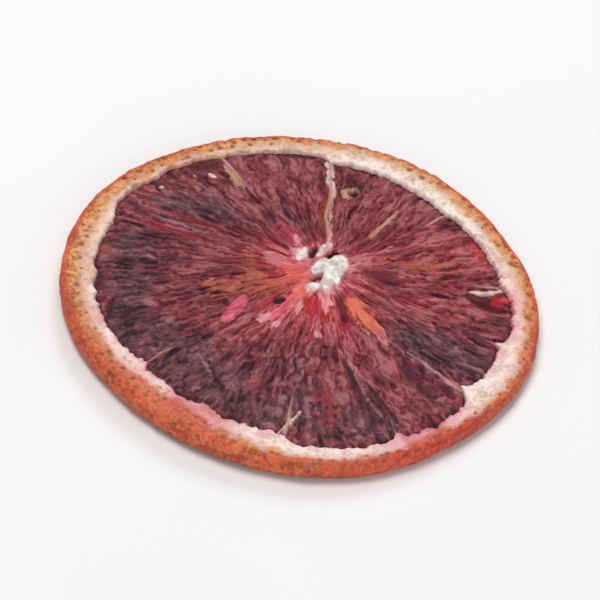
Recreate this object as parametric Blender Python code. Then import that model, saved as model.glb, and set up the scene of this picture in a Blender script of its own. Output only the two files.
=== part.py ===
"""A slice of blood orange, cut across the fruit and dried.

The slice is one body: a thick ring of rind and pith round a thinner disc of flesh that has
dried in.  Membranes run as low ridges from the core, which is off the middle, out to the pith,
and each ends in a small web of pith.  Both cut faces carry the same relief.  The slice has
curled a little, and its underside is flat where it has settled.

+Z is up, X and Y lie in the slice, and the origin is the middle of the underside.
"""

import math

import bmesh
import bpy

MM = 0.001

# Skin: mean radius, and the slow waves (waves round the slice, height, angle of a crest in degrees)
MEAN_RADIUS = 28.9 * MM
OUTLINE_WAVES = (
    (1, 0.20 * MM, -88.0),
    (2, 0.20 * MM, 100.0),
    (3, 0.18 * MM, 40.0),
    (4, 0.20 * MM, -2.0),
    (5, 0.15 * MM, -4.0),
    (8, 0.07 * MM, 20.0),
)
WALL_BULGE = 0.25 * MM
EDGE_ROUND = 0.6 * MM

# Rim: the knife ran a little aslant, so the slice is thickest at one side
RIM_THICKNESS = 2.8 * MM
THICKNESS_SLANT = 0.3 * MM
THICKEST_ANGLE = 235.0
RIND_WIDTH = 1.9 * MM
RIND_DROP = 0.12 * MM

# Segments, anticlockwise: angle in degrees at which the membrane before the segment meets the rim,
# width of rind and pith together outside the segment, length of the pith web at that membrane
SEGMENTS = (
    (14.0, 4.0 * MM, 0.9 * MM),
    (48.0, 4.2 * MM, 0.6 * MM),
    (88.0, 3.1 * MM, 0.7 * MM),
    (120.0, 2.6 * MM, 0.5 * MM),
    (142.0, 3.0 * MM, 0.5 * MM),
    (162.0, 3.9 * MM, 0.6 * MM),
    (186.0, 4.1 * MM, 0.4 * MM),
    (223.0, 4.4 * MM, 1.0 * MM),
    (247.0, 4.5 * MM, 0.5 * MM),
    (271.0, 2.9 * MM, 0.7 * MM),
    (301.0, 2.5 * MM, 0.9 * MM),
    (329.0, 4.0 * MM, 2.0 * MM),
    (350.0, 4.2 * MM, 0.9 * MM),
)
WEB_HALF_WIDTH = 1.1 * MM
WIDTH_BLEND = 0.22

# Flesh: how far each face lies under the rim's face, and the relief on it
FLESH_SINK_AT_PITH = 0.45 * MM
FLESH_SINK_MIDWAY = 0.65 * MM
PITH_SLOPE = 0.8 * MM
MEMBRANE_HEIGHT = 0.25 * MM
MEMBRANE_HALF_WIDTH = 0.55 * MM
SEGMENT_SAG = 0.12 * MM
FOLD_HEIGHT = 0.09 * MM
FOLDS_PER_SEGMENT = 2
FOLD_TWIST = 0.5
RIDGE_RUN_IN = (0.1, 0.4)

# Core: its place in the slice, and the oval plug of pith there with a slit along it
CORE_X = 2.0 * MM
CORE_Y = 5.3 * MM
CORE_HALF_LENGTH = 3.6 * MM
CORE_HALF_WIDTH = 2.6 * MM
CORE_ANGLE = 60.0
CORE_RISE = 0.40 * MM
PLUG_FLAT_SHARE = 0.65
SLIT_OFFSET = 0.8 * MM
SLIT_HALF_LENGTH = 2.2 * MM
SLIT_HALF_WIDTH = 0.7 * MM
SLIT_DEPTH = 0.6 * MM

# Curl of the whole slice
CURL_HEIGHT = 0.25 * MM
CURL_ANGLE = 60.0
CURL_LIFT = 0.03 * MM

# Facets: rays from core to skin, with the share of a segment between a membrane and the ray
# beside it, and rings round the core
RAYS_PER_SEGMENT = 9
RIDGE_RAY_SHARE = 0.07
CORE_RINGS = (0.7 * MM, 1.4 * MM, 2.2 * MM, 3.0 * MM, 4.0 * MM)
FLESH_RINGS = 6
ROUND_RINGS = 3
WALL_RINGS = 2

BLOOD_ORANGE_FLESH = (0.115, 0.022, 0.030, 1.0)


def smoothstep(low, high, value):
    """0 below low, 1 above high, and a smooth rise between them."""
    share = min(1.0, max(0.0, (value - low) / (high - low)))
    return share * share * (3.0 - 2.0 * share)


def outline_radius(angle):
    """Distance from the middle of the slice to the skin."""
    radius = MEAN_RADIUS
    for waves, height, crest in OUTLINE_WAVES:
        radius += height * math.cos(waves * (angle - math.radians(crest)))
    return radius


def outline_point(angle):
    """A point of the skin line."""
    radius = outline_radius(angle)
    return radius * math.cos(angle), radius * math.sin(angle)


class Ray:
    """A straight line from the core out to the skin, at one place along one segment."""

    def __init__(self, segment, share):
        count = len(SEGMENTS)
        start, width, web = SEGMENTS[segment]
        end, next_width, next_web = SEGMENTS[(segment + 1) % count]
        last_width = SEGMENTS[segment - 1][1]
        span = (end - start) % 360.0
        self.share = share
        self.segment = segment
        self.angle = math.radians(start + span * share)
        x, y = outline_point(self.angle)
        self.length = math.hypot(x - CORE_X, y - CORE_Y)
        self.direction = ((x - CORE_X) / self.length, (y - CORE_Y) / self.length)
        self.spread = math.radians(span) * outline_radius(self.angle)
        self.rim_width = self.blended_width(last_width, width, next_width) + self.webs(web, next_web)
        self.flesh_length = self.length - self.rim_width

    def blended_width(self, before, here, after):
        """Width of the rim, easing from one segment's to the next across the membranes."""
        in_from_start = smoothstep(-WIDTH_BLEND, WIDTH_BLEND, self.share)
        out_at_end = smoothstep(1.0 - WIDTH_BLEND, 1.0 + WIDTH_BLEND, self.share)
        width = before + (here - before) * in_from_start
        return width + (after - here) * out_at_end

    def webs(self, web, next_web):
        """Extra pith where a membrane joins the rim."""
        from_start = self.share * self.spread / WEB_HALF_WIDTH
        from_end = (1.0 - self.share) * self.spread / WEB_HALF_WIDTH
        return web * math.exp(-from_start) + next_web * math.exp(-from_end)

    def place(self, distance):
        """The point of the slice at a distance from the core along the ray."""
        return CORE_X + self.direction[0] * distance, CORE_Y + self.direction[1] * distance

    def membrane_gap(self, distance):
        """Distance from the nearest membrane, for a point of the ray."""
        nearest = min(self.share, 1.0 - self.share)
        return nearest * self.spread * distance / self.length


def core_sink(x, y):
    """How far the core's plug and slit lie under the flesh round them, negative where higher."""
    turn = math.radians(CORE_ANGLE)
    along = (x - CORE_X) * math.cos(turn) + (y - CORE_Y) * math.sin(turn)
    across = (y - CORE_Y) * math.cos(turn) - (x - CORE_X) * math.sin(turn)
    plug = math.hypot(along / CORE_HALF_LENGTH, across / CORE_HALF_WIDTH)
    slit = math.hypot(along / SLIT_HALF_LENGTH, (across - SLIT_OFFSET) / SLIT_HALF_WIDTH)
    rise = CORE_RISE * (1.0 - smoothstep(PLUG_FLAT_SHARE, 1.0, plug))
    return SLIT_DEPTH * (1.0 - smoothstep(0.0, 1.0, slit)) - rise


def flesh_sink(ray, distance):
    """How far the flesh lies under the rim's face, with its ridges and folds."""
    outward = min(1.0, max(0.0, distance / ray.flesh_length))
    midway = math.sin(math.pi * outward)
    sink = FLESH_SINK_AT_PITH + (FLESH_SINK_MIDWAY - FLESH_SINK_AT_PITH) * midway
    sink += SEGMENT_SAG * math.sin(math.pi * ray.share) * outward
    away = min(1.0, ray.membrane_gap(distance) / MEMBRANE_HALF_WIDTH)
    sink -= MEMBRANE_HEIGHT * (1.0 - away) * smoothstep(*RIDGE_RUN_IN, outward)
    turns = FOLDS_PER_SEGMENT * ray.share + FOLD_TWIST * outward
    fold = math.sin(2.0 * math.pi * turns + ray.segment)
    sink -= FOLD_HEIGHT * fold * midway * away
    return sink + core_sink(*ray.place(distance))


def face_sink(ray, distance):
    """How far a cut face lies under its highest plane, from the core to the rim's edge."""
    flesh = flesh_sink(ray, distance)
    rim = RIND_DROP * smoothstep(ray.length - RIND_WIDTH, ray.length - EDGE_ROUND, distance)
    return flesh + (rim - flesh) * smoothstep(0.0, PITH_SLOPE, distance - ray.flesh_length)


def half_thickness(x, y):
    """Half the thickness of the rim, as far as the knife's slant changes it."""
    turn = math.radians(THICKEST_ANGLE)
    towards = (x * math.cos(turn) + y * math.sin(turn)) / MEAN_RADIUS
    return (RIM_THICKNESS + THICKNESS_SLANT * towards) / 2


def curl(x, y):
    """Lift of the curled slice at a place, nothing at its middle."""
    angle = math.atan2(y, x)
    outward = math.hypot(x, y) / MEAN_RADIUS
    wave = CURL_HEIGHT * math.cos(2.0 * (angle - math.radians(CURL_ANGLE)))
    return (wave + CURL_LIFT) * outward * outward


def face_distances(ray):
    """Distances from the core of the rings on a cut face, out to where its edge turns down."""
    distances = list(CORE_RINGS)
    first = CORE_RINGS[-1]
    reach = ray.flesh_length - first
    distances += [first + reach * ring / (FLESH_RINGS + 1) for ring in range(1, FLESH_RINGS + 1)]
    distances += [ray.flesh_length, ray.flesh_length + PITH_SLOPE * 0.5]
    edge = ray.length - EDGE_ROUND
    distances += [min(ray.flesh_length + PITH_SLOPE, edge - PITH_SLOPE * 0.5), edge]
    return distances


def upper_points(ray):
    """Distance from the core of each ring, and how far it lies under the top of the rim."""
    points = [(distance, face_sink(ray, distance)) for distance in face_distances(ray)]
    for ring in range(1, ROUND_RINGS + 1):
        turn = math.pi / 2 * ring / ROUND_RINGS
        out = ray.length - EDGE_ROUND * (1.0 - math.sin(turn))
        points.append((out, RIND_DROP + EDGE_ROUND * (1.0 - math.cos(turn))))
    return points


def wall_points(ray):
    """Distance from the core and share of the wall's height, from its top to its middle."""
    points = []
    for ring in range(1, WALL_RINGS + 1):
        share = ring / WALL_RINGS
        points.append((ray.length + WALL_BULGE * math.sin(math.pi / 2 * share), 1.0 - share))
    return points


def ray_points(ray):
    """All points of a ray's loop round the slice: up face, wall and under face, core to core."""
    rows = []
    for distance, sink in upper_points(ray):
        x, y = ray.place(distance)
        rows.append((x, y, half_thickness(x, y) - sink))
    for distance, share in wall_points(ray):
        x, y = ray.place(distance)
        top = half_thickness(x, y) - RIND_DROP - EDGE_ROUND
        rows.append((x, y, top * share))
    rows += [(x, y, -height) for x, y, height in reversed(rows[:-1])]
    return [settled(x, y, height) for x, y, height in rows]


def settled(x, y, height):
    """A point at a height over the slice's middle layer, where it lies once curled and settled."""
    return x, y, max(0.0, half_thickness(x, y) + height + curl(x, y))


def ray_shares():
    """Places along a segment of its rays: one on the membrane, one close on each side of it."""
    inner = RAYS_PER_SEGMENT - 3
    gap = (1.0 - 2.0 * RIDGE_RAY_SHARE) / (inner + 1)
    return [0.0] + [RIDGE_RAY_SHARE + gap * ray for ray in range(inner + 2)]


def pole_point(side):
    """The middle of the core on the upper (1) or under (-1) face."""
    height = half_thickness(CORE_X, CORE_Y) - face_sink(Ray(0, 0.0), 0.0)
    return settled(CORE_X, CORE_Y, side * height)


def spun_body(rings, rays):
    """A closed round body spun from a bow of points, pole to pole."""
    mesh = bmesh.new()
    bow = []
    for ring in range(rings + 2):
        turn = math.pi * ring / (rings + 1)
        bow.append(mesh.verts.new((math.sin(turn), 0.0, math.cos(turn))))
    for upper, lower in zip(bow, bow[1:]):
        mesh.edges.new((upper, lower))
    bmesh.ops.spin(
        mesh, geom=mesh.verts[:] + mesh.edges[:], cent=(0, 0, 0), axis=(0, 0, 1),
        angle=2.0 * math.pi, steps=rays, use_merge=True,
    )
    bmesh.ops.remove_doubles(mesh, verts=mesh.verts, dist=0.1 / rays)
    return mesh


def shape_body(mesh, loops):
    """Move every vert of the spun body to its place in the slice."""
    rings = len(loops[0])
    rays = len(loops)
    for vert in mesh.verts:
        ring = round(math.acos(max(-1.0, min(1.0, vert.co.z))) / math.pi * (rings + 1))
        if ring == 0:
            vert.co = pole_point(1)
        elif ring == rings + 1:
            vert.co = pole_point(-1)
        else:
            turn = math.atan2(vert.co.y, vert.co.x) / (2.0 * math.pi)
            vert.co = loops[round(turn * rays) % rays][ring - 1]


def centre_on_footprint(mesh):
    """Put the middle of the slice's box over the origin."""
    xs = [vert.co.x for vert in mesh.verts]
    ys = [vert.co.y for vert in mesh.verts]
    shift = (-(min(xs) + max(xs)) / 2, -(min(ys) + max(ys)) / 2, 0.0)
    bmesh.ops.translate(mesh, verts=mesh.verts, vec=shift)


def flesh_material():
    """Dark red dried flesh, a little glossy."""
    material = bpy.data.materials.new("dried_blood_orange")
    material.use_nodes = True
    shader = material.node_tree.nodes["Principled BSDF"]
    shader.inputs["Base Color"].default_value = BLOOD_ORANGE_FLESH
    shader.inputs["Roughness"].default_value = 0.5
    shader.inputs["Metallic"].default_value = 0.0
    material.diffuse_color = BLOOD_ORANGE_FLESH
    return material


def make_slice():
    """The slice, as one object."""
    rays = [Ray(segment, share) for segment in range(len(SEGMENTS)) for share in ray_shares()]
    loops = [ray_points(ray) for ray in rays]
    mesh = spun_body(len(loops[0]), len(loops))
    shape_body(mesh, loops)
    centre_on_footprint(mesh)
    bmesh.ops.triangulate(mesh, faces=mesh.faces)
    bmesh.ops.recalc_face_normals(mesh, faces=mesh.faces)
    data = bpy.data.meshes.new("slice")
    mesh.to_mesh(data)
    mesh.free()
    data.materials.append(flesh_material())
    data.shade_smooth()
    data.set_sharp_from_angle(angle=math.radians(50.0))
    body = bpy.data.objects.new("slice", data)
    bpy.context.scene.collection.objects.link(body)
    return body


for old in list(bpy.data.objects):
    bpy.data.objects.remove(old, do_unlink=True)
make_slice()
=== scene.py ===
"""A dried slice of blood orange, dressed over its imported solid.

The flesh is one closed lens of dried juice sacs, ridged by its membranes and plugged by the core.
The rim is one closed ring of pith and rind that grips the flesh's edge.
Both are spun as plain bodies, then every vert moves to its place in the slice.
Lengths in the tables are millimetres, and the finished meshes are in metres.
"""

import math

import bmesh
import bpy
import numpy as np
from mathutils import Matrix, Vector, noise


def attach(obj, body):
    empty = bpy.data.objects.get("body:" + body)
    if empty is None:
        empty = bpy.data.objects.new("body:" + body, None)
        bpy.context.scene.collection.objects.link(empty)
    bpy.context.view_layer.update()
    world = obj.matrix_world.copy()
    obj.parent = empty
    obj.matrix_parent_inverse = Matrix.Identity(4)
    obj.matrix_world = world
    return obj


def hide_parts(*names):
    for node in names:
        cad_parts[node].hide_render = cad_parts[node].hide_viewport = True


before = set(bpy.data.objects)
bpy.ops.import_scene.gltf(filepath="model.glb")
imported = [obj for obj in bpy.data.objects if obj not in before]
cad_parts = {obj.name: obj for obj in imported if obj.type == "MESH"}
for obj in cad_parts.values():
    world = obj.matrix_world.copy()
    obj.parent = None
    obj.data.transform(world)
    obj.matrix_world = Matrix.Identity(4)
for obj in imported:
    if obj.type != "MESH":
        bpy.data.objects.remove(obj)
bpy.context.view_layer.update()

MM = 0.001
TURN = 2.0 * math.pi

# Skin: mean radius, and the slow waves (waves round the slice, height, angle of a crest in degrees)
MEAN_RADIUS = 28.9
OUTLINE_WAVES = (
    (1, 0.2, -88.0),
    (2, 0.2, 100.0),
    (3, 0.18, 40.0),
    (4, 0.2, -2.0),
    (5, 0.15, -4.0),
    (8, 0.07, 20.0),
)
WALL_BULGE = 0.22
EDGE_ROUND = 0.55

# Rim: the knife ran a little aslant, so the slice is thickest at one side
RIM_THICKNESS = 2.8
THICKNESS_SLANT = 0.3
THICKEST_ANGLE = 235.0
RIND_DROP = 0.08

# Width of the rind on the cut face, by angle round the slice
RIND_WIDTHS = (
    (0, 1.7), (10, 1.6), (20, 1.9), (30, 1.9), (45, 2.0), (57, 2.0), (75, 1.6), (88, 1.6),
    (110, 2.0), (135, 2.2), (163, 2.2), (180, 2.3), (205, 2.4), (225, 2.2), (240, 2.8),
    (255, 2.3), (262, 1.8), (272, 1.2), (285, 1.0), (300, 1.2), (308, 1.5), (318, 1.0),
    (330, 0.9), (345, 1.3), (352, 1.5),
)

# Segments, anticlockwise: angle at which the membrane before the segment meets the rim, width of
# rind and pith together, length of the pith web at that membrane, and how far inwards the membrane
# shows pale, as a share of its length
SEGMENTS = (
    (14.0, 3.7, 0.6, 0.24),
    (48.0, 4.2, 0.6, 0.26),
    (88.0, 3.1, 0.7, 0.95),
    (120.0, 2.6, 0.5, 0.34),
    (142.0, 3.0, 0.5, 0.12),
    (162.0, 3.9, 0.6, 0.14),
    (186.0, 4.1, 0.4, 0.08),
    (226.0, 4.4, 1.0, 0.14),
    (247.0, 4.5, 0.5, 0.08),
    (271.0, 2.9, 0.7, 0.26),
    (301.0, 2.5, 0.9, 0.12),
    (328.0, 4.0, 2.1, 0.1),
    (350.0, 3.3, 1.1, 0.12),
)
# How pink the pith is, and how ragged its inner edge, by angle round the slice; over 1 it is red
BLUSH = (
    (0, 0.8), (8, 1.2), (22, 0.3), (50, 0.0), (75, 0.1), (90, 0.2), (115, 0.0), (140, 0.3),
    (165, 0.2), (190, 0.15), (207, 0.5), (218, 0.8), (228, 1.2), (236, 0.9), (243, 1.8),
    (252, 1.8), (260, 1.0), (270, 0.3), (285, 0.2), (298, 0.6), (303, 1.9), (312, 1.9),
    (318, 1.0), (328, 0.2), (345, 0.5), (352, 0.6),
)
# How white the pith is, from cream to chalk, by angle round the slice
CHALK = (
    (0, 0.5), (12, 0.5), (30, 0.6), (55, 0.7), (80, 0.7), (95, 0.3), (115, 0.1), (135, -0.1),
    (150, 0.1), (165, 0.3), (190, 0.3), (205, 0.6), (222, 0.95), (230, 0.6), (237, 1.0),
    (245, 0.3), (256, 0.5), (264, 0.95), (300, 0.9), (308, 0.5), (322, 1.0), (348, 0.9),
)
# How red the rind is on the cut face, from gold to vermilion, by angle round the slice
RIPENESS = (
    (0, 0.3), (12, 0.1), (40, 0.2), (60, 0.0), (90, 0.1), (110, 0.0), (135, 0.4), (160, 0.1),
    (190, 0.05), (205, 0.3), (218, 0.8), (235, 1.0), (250, 1.0), (258, 0.4), (265, 0.2),
    (285, 0.4), (302, 0.9), (312, 0.9), (325, 0.2), (345, 0.1), (352, 0.9),
)
# How red the wall is, from orange with aged gold patches to red, by angle round the slice
WALL_REDNESS = (
    (0, 0.3), (60, 0.2), (150, 0.3), (185, 0.4), (195, 0.6), (225, 0.45), (245, 0.1), (262, 0.0),
    (275, 0.3), (292, 0.5), (305, 0.9), (322, 1.0), (335, 0.2), (348, 0.0), (355, 0.4),
)
# Webs of pith at the membranes, how softly one segment's measures go over into the next one's,
# and how much closer the mesh's rays stand at the membranes
WEB_HALF_WIDTH = 1.1
WIDTH_BLEND = 0.22
RAY_CROWDING = 0.25

# Flesh: how far each face lies under the rim's face, and the relief on it
FLESH_SINK_AT_PITH = 0.45
FLESH_SINK_MIDWAY = 0.65
SEGMENT_SAG = 0.12
CREVICE_DEPTH = 0.22
CREVICE_WIDTH = 0.35
RIDGE_HEIGHT = 0.24
RIDGE_HALF_WIDTH = 0.2
HOLLOW_DEPTH = 0.07
HOLLOW_GAP = 0.62
HOLLOW_HALF_WIDTH = 0.26
WRINKLE_TURNS = 9.0
WRINKLE_STRETCH = 0.3
FLESH_TUCK = 0.5
TUCKED_HALF_HEIGHT = 0.6

# Juice sacs
SAC_WIDTH = 1.15
SAC_WIDTH_AT_CORE = 0.28
SAC_LENGTH = 4.4
SAC_RELIEF = 0.34
SAC_LEVEL = 0.62
SAC_WALL = 0.12
SAC_WALL_WIDTH = 0.2

# Layers of noise, each as its strength, the size of its grains, and its seed
BEND = (0.45, 5.0, 8.0)
MEMBRANE_PATCHES = (0.1, 2.2, 21.0)
RIDGE_UNEVENNESS = (0.5, 1.1, 2.0)
WRINKLES = (0.13, 2.4, 0.0), (0.07, 1.1, 5.0)
SAC_WANDER = (0.3, 1.6, 0.0)
SAC_SHIFT = (0.12, 2.3, 4.0)
CRUMBS = (0.3, 1.5, 0.0), (0.06, 0.6, 0.0)
STREAK_FEATHER = (0.5, 0.35, 0.0)
STREAK_WAVES = (0.4, 1.1, 0.0)
JAG_NICKS = (0.2, 0.55, 0.0)
JAG_TEETH = (0.55, 1.3, 3.0)
JAG_LIVELINESS = (1.1, 4.5, 9.0)
JAG_WAVES = (0.4, 2.9, 6.0)
RIND_BORDER = (0.3, 1.3, 11.0)
RIND_FRINGE = (0.14, 0.4, 12.0)
GLAND_UNEVENNESS = (0.1, 0.45, 18.0)
PEBBLES = (0.072, 0.8, 14.0)
WALL_WAVES = (0.12, 2.6, 15.0)
SPONGE = (0.07, 0.55, 16.0), (0.06, 1.5, 17.0)

# Core: its middle, where the rays meet
CORE = np.array((2.3, 4.7))

# Lumps of pith at the core, and then its hollows: x and y of both ends, half width, height over
# the flesh, how white
CORE_LUMPS = (
    (3.6, 4.4, 4, 6.7, 1.5, 0.54, 1),
    (2.8, 1.7, 3.4, 5, 1.75, 0.44, 0.95),
    (1.5, 4.2, 2.5, 5.9, 1.3, 0.34, 0.84),
    (0.9, 0.8, 1.8, 1.6, 0.85, 0.32, 0.72),
    (2.2, 0.9, 3.7, 0.9, 0.75, 0.34, 0.6),
    (-1, 5.8, -0.3, 7.9, 1, 0.4, 0.76),
    (1.4, 6.8, 2.5, 9.4, 0.75, 0.42, 0.72),
    (-0.4, 5, 0.5, 5.7, 0.6, 0.16, 0.24),
    (2.3, 8.8, 2.2, 12.6, 0.45, 0.15, 0.34),
    (-0.8, 7.2, -1.7, 10.4, 0.5, 0.13, 0.3),
    (-0.6, 5.3, -4.6, 6.3, 0.55, 0.13, 0.26),
    (4.6, 5.8, 8.6, 8.8, 0.45, 0.13, 0.12),
    (4.4, 3.2, 7.8, 2, 0.45, 0.12, 0.24),
    (2.5, 0.9, 3.2, -2.4, 0.5, 0.13, 0.34),
    (0.7, 1.2, -1.1, -3.6, 0.5, 0.13, 0.24),
    (0.4, 6.7, 1, 8.7, 0.5, -0.6, 0),
    (2.3, 6.9, 3.4, 8.4, 0.45, -0.6, 0),
    (1.4, 2.6, 1.9, 3.3, 0.55, -0.5, 0),
)
# How far crumbs reach from the core, and the whitish ring round each white lump
CRUMB_REACH = 8.0
HALO_WIDTH = 0.55
HALO_WHITENESS = 0.24

# Colours, as the share of red, green and blue that the surface sends back
CORAL = (0.84, 0.14, 0.12)
RED = (0.6, 0.016, 0.04)
CRIMSON = (0.52, 0.018, 0.034)
MAROON = (0.16, 0.012, 0.026)
ROSE = (0.44, 0.05, 0.085)
DEEP_RED = (0.14, 0.004, 0.008)
DARK_RED = (0.085, 0.002, 0.006)
BROWN_HOLLOW = (0.09, 0.022, 0.014)
DARK_HOLLOW = (0.05, 0.006, 0.008)
DUSKY_PINK = (0.62, 0.17, 0.2)
PALE_PINK = (0.82, 0.34, 0.36)
HOT_PINK = (0.8, 0.13, 0.21)
ORANGE = (0.8, 0.17, 0.09)
EMBER = (0.66, 0.11, 0.07)
OCHRE = (0.46, 0.095, 0.06)
RUST = (0.3, 0.045, 0.02)
STRAW = (0.56, 0.3, 0.2)
BLUSH_WHITE = (0.78, 0.56, 0.53)
RUSSET = (0.27, 0.042, 0.034)
WINE = (0.3, 0.014, 0.032)
MAUVE = (0.29, 0.13, 0.15)
PALE_MAUVE = (0.44, 0.21, 0.23)
SAC_WALL_PINK = (0.4, 0.12, 0.13)
TISSUE_PINK = (0.84, 0.3, 0.31)
STAIN_SHADOW = (0.11, 0.004, 0.008)
STAIN_LIGHT = (0.9, 0.5, 0.46)
GLINT = (0.58, 0.36, 0.37)
EDGE_SHADOW = (0.06, 0.006, 0.012)
MEMBRANE = (0.3, 0.055, 0.07), (0.62, 0.35, 0.3)
CORE_FRINGE = (0.62, 0.095, 0.125), (0.88, 0.37, 0.39)
# Pith of the core: its painted grey shade, then its white
CORE_PITH_SHADE_AND_WHITE = (0.58, 0.49, 0.43), (0.9, 0.86, 0.82)
CORE_PINK = (0.8, 0.47, 0.48)

# Colours of the rim, from the darker to the lighter where they come in pairs
CREAM = (0.54, 0.31, 0.16), (0.78, 0.58, 0.42)
CHALKY = (0.62, 0.43, 0.34), (0.91, 0.79, 0.72)
PITH_PINK = (0.8, 0.42, 0.44)
JUICE_PINK = (0.74, 0.36, 0.38)
JUICE_RED = (0.48, 0.11, 0.14)
FLUSH_RED = (0.58, 0.12, 0.135)
GOLD = (0.42, 0.12, 0.022), (0.69, 0.27, 0.08)
PALE_GOLD = (0.82, 0.54, 0.3)
AGED_GOLD = (0.68, 0.26, 0.085)
VERMILION = (0.5, 0.085, 0.035), (0.68, 0.17, 0.085)
BURNT_EDGE = (0.42, 0.09, 0.026), (0.7, 0.2, 0.065)
WALL_ORANGE = (0.41, 0.055, 0.022), (0.73, 0.14, 0.058)
WALL_RED = (0.4, 0.038, 0.022), (0.7, 0.088, 0.052)
SCARLET = (0.38, 0.04, 0.03), (0.68, 0.13, 0.095)
PORE_BROWN = (0.3, 0.07, 0.013)

# Tones of the flesh, from dark to light, the darker ones partly painted shade in sunken sacs: where
# each one lies, and its colour
MAROON_TONES = (
    (0.06, (0.034, 0.005, 0.008)),
    (0.32, (0.082, 0.011, 0.018)),
    (0.56, (0.182, 0.021, 0.032)),
    (0.78, (0.275, 0.05, 0.065)),
    (1.0, (0.39, 0.126, 0.142)),
)
GREY_TONES = (
    (0.06, (0.03, 0.01, 0.014)),
    (0.3, (0.066, 0.025, 0.033)),
    (0.52, (0.115, 0.045, 0.056)),
    (0.76, (0.21, 0.085, 0.1)),
    (1.0, (0.31, 0.148, 0.164)),
)
RED_TONES = (
    (0.08, (0.12, 0.003, 0.008)),
    (0.34, (0.335, 0.011, 0.021)),
    (0.58, (0.545, 0.041, 0.059)),
    (0.8, (0.68, 0.086, 0.102)),
    (1.0, (0.76, 0.225, 0.24)),
)

# Darker and greyer parts of the flesh, and lighter, redder ones as less than nothing: x and y of
# both ends, half width, and how strong
SHADES = (
    (6, 8, 22, 12, 8, -0.75),
    (-2, 16, 9, 18, 4.6, -0.35),
    (12, 1, 22, 2, 3.4, -0.55),
    (4, -4, 15, -14, 3.2, -0.35),
    (-9, -8, -1, -5, 4, -0.55),
    (7.5, 5.5, 11, 5, 1.8, 0.45),
    (6.5, 2.8, 10.5, 0.2, 1.8, 0.4),
    (0, 9.8, -2, 13.5, 2.2, 0.3),
    (3.4, -3, 6.8, -8.4, 2.2, -0.5),
    (-21, -10, -6, -19.5, 6.2, 0.85),
    (-9, -20.5, -1, -23, 3.4, 0.6),
    (-3, -13.5, 3, -16, 3.8, 0.35),
    (-2, -21, 13, -21, 5, 0.65),
    (-21, 7, -20, -7, 4.8, 0.75),
    (-19, 12, -10, 13, 3.6, 0.75),
    (13, -4, 23, -8, 4.6, 0.9),
)
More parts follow.
